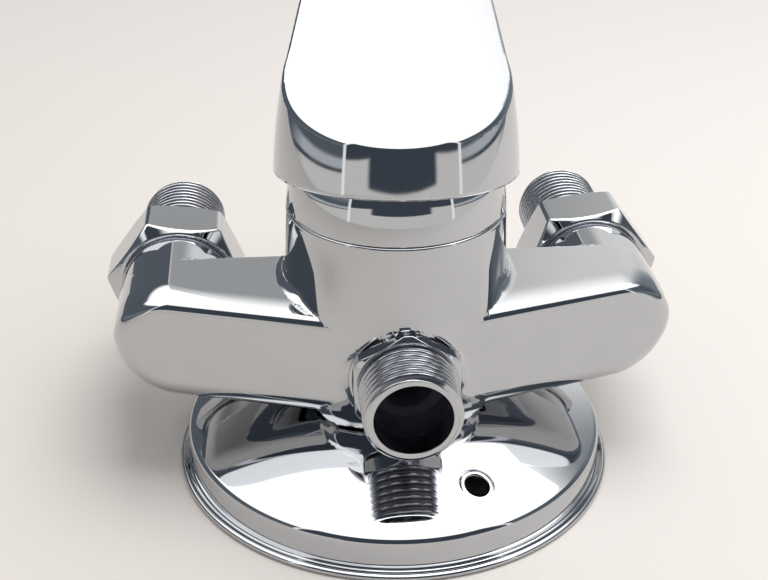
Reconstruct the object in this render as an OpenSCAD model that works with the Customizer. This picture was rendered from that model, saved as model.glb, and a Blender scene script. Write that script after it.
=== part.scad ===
// Exposed single lever shower mixer, lying on its wall plate.
// Origin: centre of the plate's rim, on the wall face. +Z points out of the wall,
// +Y towards the two inlets (up when fixed), -Y towards the hose outlet.

/* [Wall plate] */
// Outer diameter over the rolled lip
plate_d = 101.4; // [94:0.2:110]
// Height of the rolled lip
lip_h = 1.6; // [1.2:0.1:2.2]
// How far the lip stands out from the upright wall
lip_w = 2.2; // [1.6:0.1:3]
// Height at which the upright wall starts to round over
plate_wall_h = 7.7; // [6:0.1:8.5]
// Radius of the rounded shoulder
shoulder_r = 2; // [1:0.1:3]
// Diameter of the flat hub that the body stands on, where the conical face ends
hub_flat_d = 40.4; // [36:0.2:46]
// Crown of the conical face between the hub and the shoulder
face_crown = 0.5; // [0:0.1:1]
// Thickness of the pressed sheet
plate_t = 1.2; // [0.8:0.1:1.5]
// Diameter of the screw holes
screw_hole_d = 5.2; // [4:0.1:6]
// Distance of the screw holes from the plate's edge
screw_inset = 11.9; // [9:0.1:15]
// Turn of the screw holes about the plate's axis, in degrees
screw_turn = 22; // [0:1:90]

/* [Foot and lock nut] */
// Diameter of the threaded stud under the body
stud_d = 20; // [16:0.5:24]
// Length of the stud below the body
stud_l = 11; // [9:0.5:13]
// Diameter of the foot collar that presses the gasket
foot_d = 32; // [28:0.5:34]
// How far the foot collar stands below the barrel
foot_proud = 0.3; // [0.2:0.1:1]
// Thickness of the gasket
gasket_t = 0.8; // [0.5:0.1:1]
// Lock nut, across flats
lock_af = 27; // [26:0.5:30]
// Lock nut thickness
lock_t = 4.5; // [3:0.1:6]

/* [Body] */
// Wall of the barrel outside the clamp ring's thread
barrel_wall = 2.6; // [1.8:0.1:3.5]
// Extra barrel diameter where it reaches the arms
barrel_flare = 1.6; // [0:0.1:2.4]
// Rounding of the barrel's lower edge
barrel_round_low = 4; // [1:0.1:5]
// Height of the inlet and outlet axes above the wall
axis_h = 34; // [32:0.1:38]
// Distance between the two inlet axes
inlet_spacing = 100; // [94:0.5:108]
// How far the inlet bosses, and so the arms, stand out round the boss threads
boss_step = 0.28; // [0.2:0.02:1]
// Sweep of the arms' front faces, in degrees
arm_sweep = 16.7; // [15:0.1:18]
// Place of the arms' rear faces
arm_back = 10; // [8:0.2:11]
// Rounding along the arms' upper front edge
arm_round_top = 4; // [3:0.1:5]
// Rounding along the arms' lower front edge
arm_round_low = 7.5; // [6:0.1:9]
// Rounding along the arms' rear edges
arm_round_back = 2; // [1:0.1:3]
// Fillet between the barrel and the arms' flat tops
barrel_fillet = 3; // [1:0.1:4]
// Diameter of the outlet boss
outlet_boss_d = 24.4; // [23.4:0.1:25]
// Diameter of the belly under the outlet boss, where it leaves the barrel
belly_d = 35; // [30:0.2:36]
// Length of the belly along the outlet
belly_l = 5.6; // [4:0.1:6]
// How far the outlet boss stands in front of the barrel
outlet_proud = 0.1; // [0.05:0.05:1]
// Gap between the body's belly and the plate
belly_gap = 0.8; // [0.5:0.1:1.5]

/* [Waterways] */
// Bore of the two inlets
inlet_bore_d = 15; // [12:0.5:16]
// Bore of the passages inside the arms
passage_d = 12; // [9:0.5:12.5]
// Bore of the passage to the outlet
outlet_passage_d = 9; // [7:0.5:10]

/* [Unions] */
// Outer diameter of the inlet boss thread, three quarter inch pipe
boss_thread_d = 26.44; // [26.2:0.02:26.6]
// Place of the boss shoulder
boss_end = 19; // [18:0.1:20]
// Length of the boss thread
boss_thread_l = 7.6; // [6:0.1:9]
// Wall of the union nut at its flats, outside the boss thread
nut_wall = 1.78; // [1.5:0.02:2.8]
// Length of the union nut's hexagon
nut_l = 11.4; // [11:0.1:13]
// Length of the turned nose on the union nut
nut_nose_l = 2.4; // [1:0.1:3]
// Thickness of the nut's inner flange
nut_flange_t = 2.5; // [2:0.1:3]
// Turn of the left nut and of the right nut about their axes, in degrees
nut_turns = [-7, 7.5]; // [-30:0.5:30]
// Thickness of the union washer
union_washer_t = 2; // [1.5:0.1:2.5]
// Thickness of the tail's collar
collar_t = 2.9; // [2.2:0.1:3.2]
// Play of the tail's collar in the nut
collar_play = 0.52; // [0.3:0.02:1]
// Place of the tails' far ends
tail_end = 60.6; // [52:0.2:72]
// Length of the tail's thread
tail_thread_l = 24; // [14:0.5:24]

/* [Pipe thread ends] */
// Outer diameter of the half inch pipe thread
pipe_thread_d = 20.955; // [20.8:0.005:21]
// Chamfer at the end of a thread
thread_chamfer = 0.6; // [0.3:0.05:1]

/* [Outlet nipple] */
// Hexagon, across flats
outlet_af = 22.6; // [21:0.1:23.4]
// Hexagon thickness
outlet_hex_t = 3.4; // [3:0.1:4.5]
// Distance of the nipple's mouth from the body axis
outlet_reach = 41.1; // [39:0.1:46]
// Bore
outlet_bore_d = 16.5; // [14:0.1:17]
// Diameter of the end that screws into the body
socket_d = 16; // [15:0.1:16.2]
// Bore of that end
socket_bore_d = 12; // [10:0.5:13]
// Depth of that end in the body
socket_l = 9; // [7:0.5:10]
// Thickness of the washer
outlet_washer_t = 0.8; // [0.5:0.1:1]

/* [Cartridge] */
// Cartridge diameter
cart_d = 39.8; // [39:0.1:40.2]
// Metal between the nipple's socket and the chamber's floor
floor_t = 1.2; // [1:0.1:3]
// Thickness of the base flange
base_flange_t = 2; // [1.6:0.1:2.2]
// Height of the base plug above its flange
base_plug_t = 0.9; // [0.8:0.1:1]
// Thickness of the fixed disc
fixed_disc_t = 3; // [2.5:0.05:4]
// Thickness of the moving disc
moving_disc_t = 2.8; // [2.6:0.05:4]
// Diameter of the moving disc
moving_disc_d = 26; // [25:0.1:26.4]
// Water film between the discs
film = 0.05; // [0.02:0.01:0.08]
// Thickness of the disc carrier
carrier_t = 4.25; // [4:0.05:5]
// Width of the disc carrier
carrier_w = 16; // [14:0.5:17]
// Length of the disc carrier
carrier_l = 16; // [14:0.5:17]
// Height of the turret's flange above the disc carrier
turret_flange_t = 2; // [1:0.1:3]
// Thickness of the shoulder
shoulder_t = 2; // [1.6:0.1:2.2]
// Wall of the cartridge housing
housing_wall = 2.5; // [2:0.1:2.7]
// Wall of the housing's neck
neck_wall = 2.5; // [1.5:0.1:2.8]
// Height of the neck above the shoulder
neck_h = 10; // [8:0.1:10.4]
// Diameter of the turret in the neck
turret_d = 27.7; // [27:0.1:28]
// How far the turret stands above the neck
turret_proud = 2; // [1:0.1:2.4]
// Diameter of the two inlet ports
inlet_port_d = 6.4; // [5.6:0.1:6.4]
// Diameter of the outlet port
outlet_port_d = 9; // [8:0.1:9]

/* [Clamp ring and bonnet] */
// How far the clamp ring's thread stands out round the cartridge
clamp_step = 1.6; // [1:0.1:2.5]
// How far the collar that carries the bonnet stands out round the cartridge
collar_step = 0.6; // [0.2:0.1:1.2]
// Depth of the clamp ring in the barrel
clamp_depth = 4.3; // [3:0.1:6]
// Run of the barrel's thread below the clamp ring
clamp_run = 2; // [1:0.1:3]
// Height of that collar above the joint line
clamp_collar_h = 5.5; // [4:0.1:6]
// How far the bonnet's dome stands out over the barrel's edge
bonnet_proud = 0.05; // [0:0.05:0.3]
// Height of the bonnet above the joint line
bonnet_h = 12.5; // [11:0.1:13]
// Gap round the housing's neck in the bonnet's mouth
mouth_gap = 0.4; // [0.2:0.1:1]

/* [Spindle] */
// Height of the spindle pin above the cartridge's shoulder
pin_up = 1.8; // [1.6:0.1:3]
// Diameter of the spindle pin
pin_d = 3; // [2.5:0.1:3.4]
// Width of the square spindle
spindle_w = 8; // [7:0.1:8.4]
// Length of the spindle above the pin
spindle_up = 24; // [20:0.2:25]
// Diameter of the ball foot
ball_d = 4.2; // [3.8:0.1:4.6]
// Diameter of the shank above the ball foot
shank_d = 2.8; // [2.4:0.1:3.2]
// Lean of the closed spindle towards the inlets, in degrees
closed_lean = 9; // [7:0.5:9]
// Lift of the lever from closed to open, in degrees
lift = 25; // [22:0.5:25]
// Turn of the handle towards the right inlet at rest, in degrees
rest_turn = 5; // [0:0.5:8]

/* [Handle] */
// Gap between the skirt and the bonnet's dome
skirt_gap = 1; // [0.4:0.1:1.5]
// How much narrower the cap is where the skirt's cone would reach the lever
cap_step = 1.8; // [1:0.1:3]
// Swelling of the skirt between its rim and the cap
skirt_swell = 0.3; // [0:0.05:0.6]
// Rounding of the skirt's rim
rim_round = 1; // [0.3:0.1:1.2]
// Distance from the pin to the rim, along the spindle
rim_up = 9.2; // [8.6:0.1:10]
// Distance from the pin to the height where the cone has the cap diameter
cone_up = 30; // [28:0.2:32]
// Thickness of the skirt's wall
skirt_wall = 1.5; // [1.2:0.05:1.6]
// Thickness of the cap under its top face
cap_wall = 2.2; // [1.6:0.1:2.6]
// Height of the top face above the pin, on the body's axis
top_up = 31.4; // [30:0.2:35]
// Rise of the top face towards the tip, in degrees
top_rise = 20; // [17:0.5:22]
// Crown radius across the top face
crown_r = 120; // [90:1:200]
// Distance of the lever's tip from the body's axis
lever_reach = 78; // [60:1:90]
// Half width of the lever near its tip
tip_half_w = 17; // [12:0.5:18]
// Thickness of the lever near its tip
tip_t = 6; // [5:0.2:8]
// Extra thickness of the lever at the cap
root_extra = 6.5; // [4:0.2:7]
// Diameter of the hub on the spindle
hub_d = 18; // [16:0.2:18.4]
// Grub screw diameter
grub_d = 5; // [4:0.5:6]
// Grub screw length
grub_l = 5; // [4:0.2:5]
// Distance from the pin to the grub screw
grub_up = 17.6; // [17:0.1:18]
// Diameter of the plug over the grub screw
plug_d = 6.4; // [5.8:0.1:6.6]

/* [Clearances] */
// Radial clearance of a running fit
run_fit = 0.05; // [0.02:0.01:0.08]
// Radial clearance of a screwed or pushed fit
screw_fit = 0.1; // [0.05:0.01:0.15]
// Gap between faces that slide past each other
slide_gap = 0.1; // [0.06:0.01:0.15]
// Radial clearance of the stud in the plate's hole
stud_play = 0.3; // [0.2:0.1:1]
// Gap under the ball foot
foot_gap = 0.15; // [0.1:0.05:0.3]
// Gap between the handle's hub and the turret when the lever is lifted
lift_gap = 0.3; // [0.2:0.1:1]

/* [Hidden] */

$fn = 96;
EPS = 0.02;
// Facets of the balls inside the arms' hulls, at the front and at the back
ROUND_FN = 32;
BACK_FN = 20;
// Steps of the balls round an arm's end
END_STEPS = 12;
// Reach of a cutting block, larger than the whole mixer
FAR = 200;

// Body, round the inlet axes
boss_thread_r = boss_thread_d / 2;
boss_r = boss_thread_r + boss_step;
body_low = axis_h - boss_r;
arm_top = axis_h + boss_r;
inlet_x = inlet_spacing / 2;
boss_edge = 0.8;
passage_in = 7;
passage_y = -1;

// Plate
plate_r = plate_d / 2;
wall_r = plate_r - lip_w;
shoulder_c = [wall_r - shoulder_r, plate_wall_h];
hub_r = hub_flat_d / 2;
body_seat = body_low - foot_proud;
hub_h = body_seat - gasket_t;
hub_from_shoulder = [shoulder_c[0] - hub_r, hub_h - shoulder_c[1]];
// Slope of the conical face, which runs from the hub to the shoulder's arc
plate_slope = atan2(hub_from_shoulder[1], hub_from_shoulder[0])
    - asin(shoulder_r / norm(hub_from_shoulder));
// Slope where the crowned face meets the shoulder
edge_slope = plate_slope + atan(4 * face_crown / hub_from_shoulder[0]);
plate_hole_r = stud_d / 2 + stud_play;

// Cartridge, upwards
cart_r = cart_d / 2;
cavity_r = cart_r - housing_wall;
floor_h = axis_h + socket_d / 2 + floor_t;
base_flange_z = floor_h + base_flange_t;
fixed_z = base_flange_z + base_plug_t;
moving_z = fixed_z + fixed_disc_t + film;
carrier_z = moving_z + moving_disc_t;
carrier_top = carrier_z + carrier_t;
roof_z = carrier_top + turret_flange_t;
shoulder_z = roof_z + shoulder_t;
neck_top = shoulder_z + neck_h;
turret_top = neck_top + turret_proud;
turret_r = turret_d / 2;
neck_bore_r = turret_r + run_fit;
neck_r = neck_bore_r + neck_wall;
inlet_port = [8, 3.5];
outlet_port_y = -9;
seal_h = 1.5;
seal_wall = 1.6;
peg_r = 1.5;
peg_at = [13, -8];
peg_l = 2.4;

// Barrel, clamp ring and bonnet
pin_h = shoulder_z + pin_up;
barrel_h = shoulder_z + clamp_depth;
chamber_r = cart_r + screw_fit;
clamp_r = cart_r + clamp_step;
clamp_collar_r = cart_r + collar_step;
barrel_r = clamp_r + barrel_wall;
barrel_low_r = barrel_r + barrel_flare / 2;
bonnet_r = norm([barrel_r, barrel_h - pin_h]) + bonnet_proud;
mouth_r = neck_r + mouth_gap;
// Front face of an arm at a distance x from the body's axis
function arm_front(x, inset = 0) =
    -(barrel_low_r - inset - x * sin(arm_sweep)) / cos(arm_sweep);
tangent_x = barrel_low_r * sin(arm_sweep);
outlet_face = barrel_low_r + outlet_proud;

// Unions
thread_r = pipe_thread_d / 2;
boss_face = boss_end + boss_thread_l;
collar_y = boss_face + union_washer_t;
collar_r = boss_thread_r - collar_play;
nut_af = boss_thread_d + 2 * nut_wall;
nut_seat = collar_y + collar_t + slide_gap;
nut_start = nut_seat + nut_flange_t - nut_l;

// Outlet
hex_back = outlet_face + outlet_washer_t;
hex_front = hex_back + outlet_hex_t;

// Spindle
pin_r = pin_d / 2;
foot_arm = pin_h - carrier_z - ball_d / 2 - foot_gap;
open_lean = lift - closed_lean;
foot_rest = -foot_arm * sin(closed_lean);
foot_open = foot_arm * sin(open_lean);
travel = foot_open - foot_rest;
slot_x = spindle_w / 2 + run_fit;
slot_front = (turret_top - pin_h) * tan(open_lean) + spindle_w / 2 + 1;
slot_back = (turret_top - pin_h) * tan(closed_lean) + spindle_w / 2 + 1;
carrier_peg = [5.5, 5];
carrier_peg_r = 1.25;
carrier_peg_l = 1.4;

// Handle
skirt_r = bonnet_r + skirt_gap + skirt_wall;
cap_r = skirt_r - cap_step;
skirt_slope = cap_step / (cone_up - rim_up);
skirt_top_up = top_up + cap_r * tan(top_rise);
ceiling_up = bonnet_r + skirt_gap;
top_h = pin_h + top_up;
hub_up = (turret_top - pin_h + lift_gap + hub_d / 2 * sin(open_lean)) / cos(open_lean);
hub_hole_w = spindle_w + 2 * screw_fit;
lever_corner_r = 7;

// Places a shape that is drawn up the Z axis along +Y, at x and the inlet height
module along_y(x = 0, y = 0, z = axis_h) {
    translate([x, y, z]) rotate([-90, 0, 0]) children();
}

// Places a shape that is drawn up the Z axis along -Y, from y outwards
module along_front(y = 0, z = axis_h) {
    translate([0, -y, z]) rotate([90, 0, 0]) children();
}

// Turns what moves with the handle to its place at rest
module turned() {
    rotate([0, 0, -rest_turn]) children();
}

// Leans what is drawn about the pin at the origin to the closed spindle's place
module on_spindle() {
    translate([0, 0, pin_h]) rotate([-closed_lean, 0, 0]) children();
}

// A ring between two radii
module ring(outer, inner, h) {
    difference() {
        cylinder(r = outer, h = h);
        translate([0, 0, -EPS]) cylinder(r = inner, h = h + 2 * EPS);
    }
}

// A hexagon across flats with its corners turned off at one or both ends
module hexagon(af, h, low = false, high = false) {
    corner = af / sqrt(3);
    turned = af / 2 * 1.03;
    drop = (corner - turned) * tan(30);
    intersection() {
        cylinder(r = corner, h = h, $fn = 6);
        rotate_extrude() polygon([
            [0, 0],
            [low ? turned : corner + 1, 0],
            [corner + (low ? EPS : 1), low ? drop : 0],
            [corner + (high ? EPS : 1), high ? h - drop : h],
            [high ? turned : corner + 1, h],
            [0, h]]);
    }
}

// A male pipe thread's blank with a chamfered end at the top
module thread_blank(r, h) {
    rotate_extrude() polygon([
        [0, 0], [r, 0], [r, h - thread_chamfer], [r - thread_chamfer, h], [0, h]]);
}

// Section under the dish's face: upright wall, rounded shoulder, crowned cone and flat hub
module plate_profile(inset) {
    r_in = max(0.2, shoulder_r - inset);
    arc = [for (i = [0 : 8]) let (a = (90 - edge_slope) * i / 8)
        [shoulder_c[0] + r_in * cos(a), shoulder_c[1] + r_in * sin(a)]];
    from = arc[8];
    to = [hub_r - inset * tan(plate_slope / 2), hub_h - inset];
    face = [for (i = [1 : 11]) let (t = i / 12)
        from + (to - from) * t + [0, 4 * face_crown * t * (1 - t)]];
    polygon(concat([[0, -1], [wall_r - inset, -1]], arc, face, [to, [0, hub_h - inset]]));
}

module wall_plate() {
    color("silver") difference() {
        rotate_extrude() {
            difference() {
                intersection() {
                    union() {
                        plate_profile(0);
                        square([plate_r - lip_h / 2, lip_h]);
                        translate([plate_r - lip_h / 2, lip_h / 2]) circle(d = lip_h, $fn = 32);
                    }
                    square([FAR, FAR]);
                }
                plate_profile(plate_t);
            }
        }
        cylinder(r = plate_hole_r, h = FAR);
        for (side = [0, 180])
            rotate(screw_turn + side) translate([0, screw_inset - plate_r, 0])
                cylinder(d = screw_hole_d, h = FAR, $fn = 48);
    }
}

module plate_gasket() {
    color("dimgray") translate([0, 0, hub_h]) ring(foot_d / 2, plate_hole_r, gasket_t);
}

module plate_nut() {
    color("goldenrod") translate([0, 0, hub_h - plate_t - lock_t]) difference() {
        hexagon(lock_af, lock_t, low = true);
        translate([0, 0, -EPS]) cylinder(d = stud_d + 2 * screw_fit, h = lock_t + 2 * EPS);
    }
}

// One arm as a hull of balls: swept front face, round end, straight back
module arm() {
    hull() {
        for (i = [0 : END_STEPS]) {
            turn = 90 - 180 * i / END_STEPS;
            r = arm_round_top + (arm_round_low - arm_round_top) * i / END_STEPS;
            end_x = inlet_x + (boss_r - r) * cos(turn);
            translate([end_x, arm_front(end_x, r), axis_h + (boss_r - r) * sin(turn)])
                sphere(r = r, $fn = ROUND_FN);
            translate([inlet_x + (boss_r - arm_round_back) * cos(turn), arm_back - arm_round_back,
                axis_h + (boss_r - arm_round_back) * sin(turn)])
                sphere(r = arm_round_back, $fn = BACK_FN);
        }
        translate([tangent_x, arm_front(tangent_x, arm_round_top), arm_top - arm_round_top])
            sphere(r = arm_round_top, $fn = ROUND_FN);
        translate([tangent_x, arm_front(tangent_x, arm_round_low), body_low + arm_round_low])
            sphere(r = arm_round_low, $fn = ROUND_FN);
        for (side = [-1, 1])
            translate([0, arm_back - arm_round_back, axis_h + side * (boss_r - arm_round_back)])
                sphere(r = arm_round_back, $fn = BACK_FN);
    }
}

// Fillet between the barrel and the arms' flat tops
module barrel_fillet_ring() {
    intersection() {
        rotate_extrude() difference() {
            translate([barrel_r - 1, arm_top - 2])
                square([barrel_low_r - barrel_r + 1 + barrel_fillet, barrel_fillet + 2]);
            translate([barrel_low_r + barrel_fillet, arm_top + barrel_fillet]) circle(r = barrel_fillet);
        }
        linear_extrude(FAR) polygon([
            [FAR, arm_back - arm_round_back], [-FAR, arm_back - arm_round_back],
            [-FAR, arm_front(FAR, arm_round_top * 0.4)], [0, arm_front(0, arm_round_top * 0.4)],
            [FAR, arm_front(FAR, arm_round_top * 0.4)]]);
    }
}

// Half section of the barrel: rounded lower edge, straight to the arms' tops, narrower to the joint
module barrel_profile() {
    arc = [for (a = [-90 : 10 : 0]) [
        barrel_low_r - barrel_round_low * (1 - cos(a)), body_low + barrel_round_low * (1 + sin(a))]];
    polygon(concat([[0, body_low]], arc, [[barrel_low_r, arm_top], [barrel_r, barrel_h], [0, barrel_h]]));
}

// Belly that leads from the barrel's foot to the lower half of the outlet boss
module belly() {
    boss_top = outlet_boss_d / 2 - 0.4;
    hull() {
        along_front(outlet_face - belly_l - 0.5, axis_h + boss_top - belly_d / 2)
            cylinder(d = belly_d, h = 0.5, $fn = 64);
        along_front(outlet_face - 1) cylinder(r = boss_top, h = 0.5, $fn = 64);
    }
}

module body() {
    color("gainsboro") difference() {
        union() {
            rotate_extrude() barrel_profile();
            barrel_fillet_ring();
            arm();
            mirror([1, 0, 0]) arm();
            for (side = [-1, 1]) {
                along_y(side * inlet_x) rotate_extrude() polygon([[0, 0], [boss_r, 0],
                    [boss_r, boss_end - boss_edge], [boss_r - boss_step, boss_end], [0, boss_end]]);
                along_y(side * inlet_x) thread_blank(boss_thread_r, boss_face);
            }
            along_front() cylinder(d = outlet_boss_d, h = outlet_face);
            difference() {
                belly();
                rotate_extrude() translate([0, belly_gap]) plate_profile(0);
            }
            translate([0, 0, body_seat]) cylinder(d = foot_d, h = body_low - body_seat + 1);
            translate([0, 0, body_seat - stud_l]) cylinder(d = stud_d, h = stud_l + 1);
        }
        // Chamber, thread for the clamp ring and the floor's peg holes
        translate([0, 0, floor_h]) cylinder(r = chamber_r, h = FAR);
        translate([0, 0, shoulder_z - clamp_run]) cylinder(r = clamp_r + screw_fit, h = FAR);
        for (side = [-1, 1])
            translate([side * peg_at[0], peg_at[1], floor_h - peg_l - 0.2])
                cylinder(r = peg_r + screw_fit, h = peg_l + 1, $fn = 32);
        // Inlets, passages in the arms and ports up into the chamber
        for (side = [-1, 1]) {
            along_y(side * inlet_x, passage_y) cylinder(d = inlet_bore_d, h = FAR);
            along_y(side * inlet_x, passage_y) sphere(d = inlet_bore_d);
            translate([side * passage_in, passage_y, axis_h]) rotate([0, side * 90, 0])
                cylinder(d = passage_d, h = inlet_x - passage_in);
            translate([side * (passage_in + passage_d / 2 - 2), inlet_port[1], axis_h])
                cylinder(d = inlet_port_d, h = floor_h - axis_h + 1);
        }
        // Outlet port, passage and socket
        translate([0, outlet_port_y, axis_h]) cylinder(d = outlet_passage_d, h = floor_h - axis_h + 1);
        along_front(-outlet_port_y) cylinder(d = outlet_passage_d, h = FAR);
        along_front(outlet_face - socket_l) cylinder(d = socket_d + 2 * screw_fit, h = FAR);
        translate([0, outlet_port_y, axis_h]) sphere(d = outlet_passage_d);
    }
}

module outlet_nipple() {
    color("gainsboro") difference() {
        union() {
            along_front(outlet_face - socket_l) cylinder(d = socket_d, h = hex_back - outlet_face + socket_l + 1);
            along_front(hex_back) rotate(30) hexagon(outlet_af, outlet_hex_t, high = true);
            along_front(hex_front - 1) thread_blank(thread_r, outlet_reach - hex_front + 1);
        }
        along_front(outlet_face - socket_l - EPS) cylinder(d = socket_bore_d, h = FAR);
        along_front(hex_back + 1) cylinder(d = outlet_bore_d, h = FAR);
    }
}

module outlet_washer() {
    color("dimgray") along_front(outlet_face)
        ring(outlet_af / 2 - 0.3, socket_d / 2 + screw_fit, outlet_washer_t);
}

module union_nut(side) {
    color("lightgray") along_y(side * inlet_x, nut_start)
        rotate(-nut_turns[side < 0 ? 0 : 1]) difference() {
            union() {
                hexagon(nut_af, nut_l, low = true, high = true);
                translate([0, 0, -nut_nose_l])
                    cylinder(r1 = nut_af / 2 - 0.9, r2 = nut_af / 2 + 0.1, h = nut_nose_l + 1);
            }
            translate([0, 0, -nut_nose_l - EPS])
                cylinder(r = boss_thread_r + run_fit, h = nut_l + nut_nose_l - nut_flange_t + EPS);
            cylinder(r = thread_r + screw_fit * 2, h = nut_l + 1);
        }
}

module union_tail(side) {
    color("lightgray") difference() {
        union() {
            along_y(side * inlet_x, collar_y) cylinder(r = collar_r, h = collar_t);
            along_y(side * inlet_x, collar_y) cylinder(r = thread_r - 0.2, h = tail_end - collar_y - 2);
            along_y(side * inlet_x, tail_end - tail_thread_l) thread_blank(thread_r, tail_thread_l);
        }
        along_y(side * inlet_x, collar_y - EPS) cylinder(d = inlet_bore_d, h = FAR);
    }
}

module inlet_washer(side) {
    color("black") along_y(side * inlet_x, boss_face)
        ring(collar_r, inlet_bore_d / 2, union_washer_t);
}

// The three ports through the cartridge's base and the fixed disc
module ports(inlet_d, outlet_d, h) {
    for (side = [-1, 1])
        translate([side * inlet_port[0], inlet_port[1], 0]) cylinder(d = inlet_d, h = h, $fn = 48);
    translate([0, outlet_port_y, 0]) cylinder(d = outlet_d, h = h, $fn = 48);
}

module cartridge_base() {
    color("white") difference() {
        union() {
            translate([0, 0, floor_h]) cylinder(r = cart_r, h = base_flange_t);
            translate([0, 0, floor_h]) cylinder(r = cavity_r - screw_fit, h = fixed_z - floor_h);
            for (side = [-1, 1])
                translate([side * peg_at[0], peg_at[1], floor_h - peg_l])
                    cylinder(r = peg_r, h = peg_l + 1, $fn = 32);
        }
        translate([0, 0, floor_h - EPS]) ports(inlet_port_d, outlet_port_d, FAR);
        translate([0, 0, floor_h - EPS])
            ports(inlet_port_d + 2 * seal_wall, outlet_port_d + 2 * seal_wall, seal_h + EPS);
    }
}

module port_seals() {
    color("black") translate([0, 0, floor_h]) difference() {
        ports(inlet_port_d + 2 * seal_wall, outlet_port_d + 2 * seal_wall, seal_h);
        translate([0, 0, -EPS]) ports(inlet_port_d, outlet_port_d, seal_h + 1);
    }
}

module fixed_disc() {
    color("ivory") translate([0, 0, fixed_z]) difference() {
        cylinder(r = cavity_r - screw_fit, h = fixed_disc_t);
        translate([0, 0, -EPS]) ports(inlet_port_d, outlet_port_d, FAR);
    }
}

// Mixing chamber: shut over the outlet alone, open it reaches both inlets
module mixing_chamber(h) {
    translate([0, -6, 0]) cylinder(r = 5, h = h, $fn = 48);
    for (side = [-1, 1]) translate([side * 6.2, -3.4, 0]) cylinder(r = 3.6, h = h, $fn = 48);
}

module moving_disc() {
    color("ivory") translate([0, foot_rest, moving_z]) difference() {
        cylinder(d = moving_disc_d, h = moving_disc_t);
        translate([0, 0, -EPS]) mixing_chamber(moving_disc_t / 2);
        for (side = [-1, 1])
            translate([side * carrier_peg[0], carrier_peg[1], moving_disc_t - carrier_peg_l - slide_gap])
                cylinder(r = carrier_peg_r + run_fit, h = FAR, $fn = 32);
    }
}

module disc_carrier() {
    color("lightsteelblue") translate([0, foot_rest, carrier_z]) difference() {
        union() {
            translate([-carrier_w / 2, -carrier_l / 2, 0]) cube([carrier_w, carrier_l, carrier_t]);
            for (side = [-1, 1])
                translate([side * carrier_peg[0], carrier_peg[1], -carrier_peg_l])
                    cylinder(r = carrier_peg_r, h = carrier_peg_l + 1, $fn = 32);
        }
        pocket = ball_d / 2 + slide_gap;
        translate([-pocket, -pocket, -EPS]) cube([2 * pocket, 2 * pocket, carrier_t + 1]);
    }
}

module cartridge_housing() {
    color("white") difference() {
        union() {
            translate([0, 0, base_flange_z]) cylinder(r = cart_r, h = shoulder_z - base_flange_z);
            translate([0, 0, shoulder_z - 1]) cylinder(r = neck_r, h = neck_h + 1);
        }
        translate([0, 0, base_flange_z - EPS]) cylinder(r = cavity_r, h = roof_z - base_flange_z + EPS);
        cylinder(r = neck_bore_r, h = FAR);
    }
}

module turret() {
    flange_z = carrier_z + slide_gap;
    color("tomato") difference() {
        union() {
            translate([0, 0, flange_z])
                cylinder(r = cavity_r - 2 * slide_gap, h = roof_z - slide_gap - flange_z);
            translate([0, 0, flange_z]) cylinder(r = turret_r, h = turret_top - flange_z);
        }
        // Guide for the carrier
        guide_w = carrier_w + 2 * slide_gap;
        guide_y = foot_rest - carrier_l / 2 - 2 * slide_gap;
        translate([-guide_w / 2, guide_y, flange_z - 1])
            cube([guide_w, carrier_l + travel + 4 * slide_gap, carrier_top + 2 * slide_gap - flange_z + 1]);
        // Slot that the spindle leans in, and the pin's cross hole
        translate([-slot_x, -slot_front, flange_z]) cube([2 * slot_x, slot_front + slot_back, FAR]);
        translate([-FAR / 2, 0, pin_h]) rotate([0, 90, 0]) cylinder(r = pin_r, h = FAR, $fn = 48);
    }
}

module spindle_pin() {
    pin_half = turret_r - 0.4;
    color("silver") translate([-pin_half, 0, pin_h]) rotate([0, 90, 0])
        cylinder(r = pin_r, h = 2 * pin_half, $fn = 48);
}

module spindle() {
    color("silver") on_spindle() difference() {
        union() {
            translate([-spindle_w / 2, -spindle_w / 2, -3])
                cube([spindle_w, spindle_w, spindle_up + 3]);
            translate([0, 0, -foot_arm]) cylinder(d = shank_d, h = foot_arm, $fn = 48);
            translate([0, 0, -foot_arm]) sphere(d = ball_d, $fn = 48);
        }
        translate([-FAR / 2, 0, 0]) rotate([0, 90, 0]) cylinder(r = pin_r + run_fit, h = FAR, $fn = 48);
    }
}

module clamp_ring() {
    color("goldenrod") difference() {
        union() {
            translate([0, 0, shoulder_z]) cylinder(r = clamp_r, h = barrel_h - shoulder_z);
            translate([0, 0, barrel_h - 1]) cylinder(r = clamp_collar_r, h = clamp_collar_h + 1);
        }
        cylinder(r = neck_r + 2 * screw_fit, h = FAR);
        // Four wrench slots in the top
        for (a = [45, 135])
            rotate(a) translate([-FAR / 2, -2, barrel_h + clamp_collar_h - 2]) cube([FAR, 4, FAR]);
    }
}

module bonnet() {
    seat_r = clamp_collar_r + screw_fit;
    seat_top = barrel_h + clamp_collar_h + 1;
    top = barrel_h + bonnet_h;
    color("silver") difference() {
        intersection() {
            translate([0, 0, pin_h]) sphere(r = bonnet_r, $fn = 128);
            translate([0, 0, barrel_h]) cylinder(r = FAR / 2, h = bonnet_h);
        }
        // Seat on the clamp ring's collar, then a taper up to the mouth
        rotate_extrude() polygon([[0, barrel_h - 1], [seat_r, barrel_h - 1], [seat_r, seat_top],
            [mouth_r, top - 1], [mouth_r, top + 1], [0, top + 1]]);
    }
}

// Plan of the cap and the lever: the cap's circle run out to a rounded, narrower tip
module lever_plan() {
    tip_y = lever_reach - lever_corner_r;
    lean_y = (top_h - pin_h) * tan(closed_lean) * 0.7;
    hull() {
        translate([0, lean_y]) circle(r = cap_r - 0.8);
        for (side = [-1, 1])
            translate([side * (tip_half_w - lever_corner_r), tip_y]) circle(r = lever_corner_r, $fn = 48);
    }
}

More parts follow.
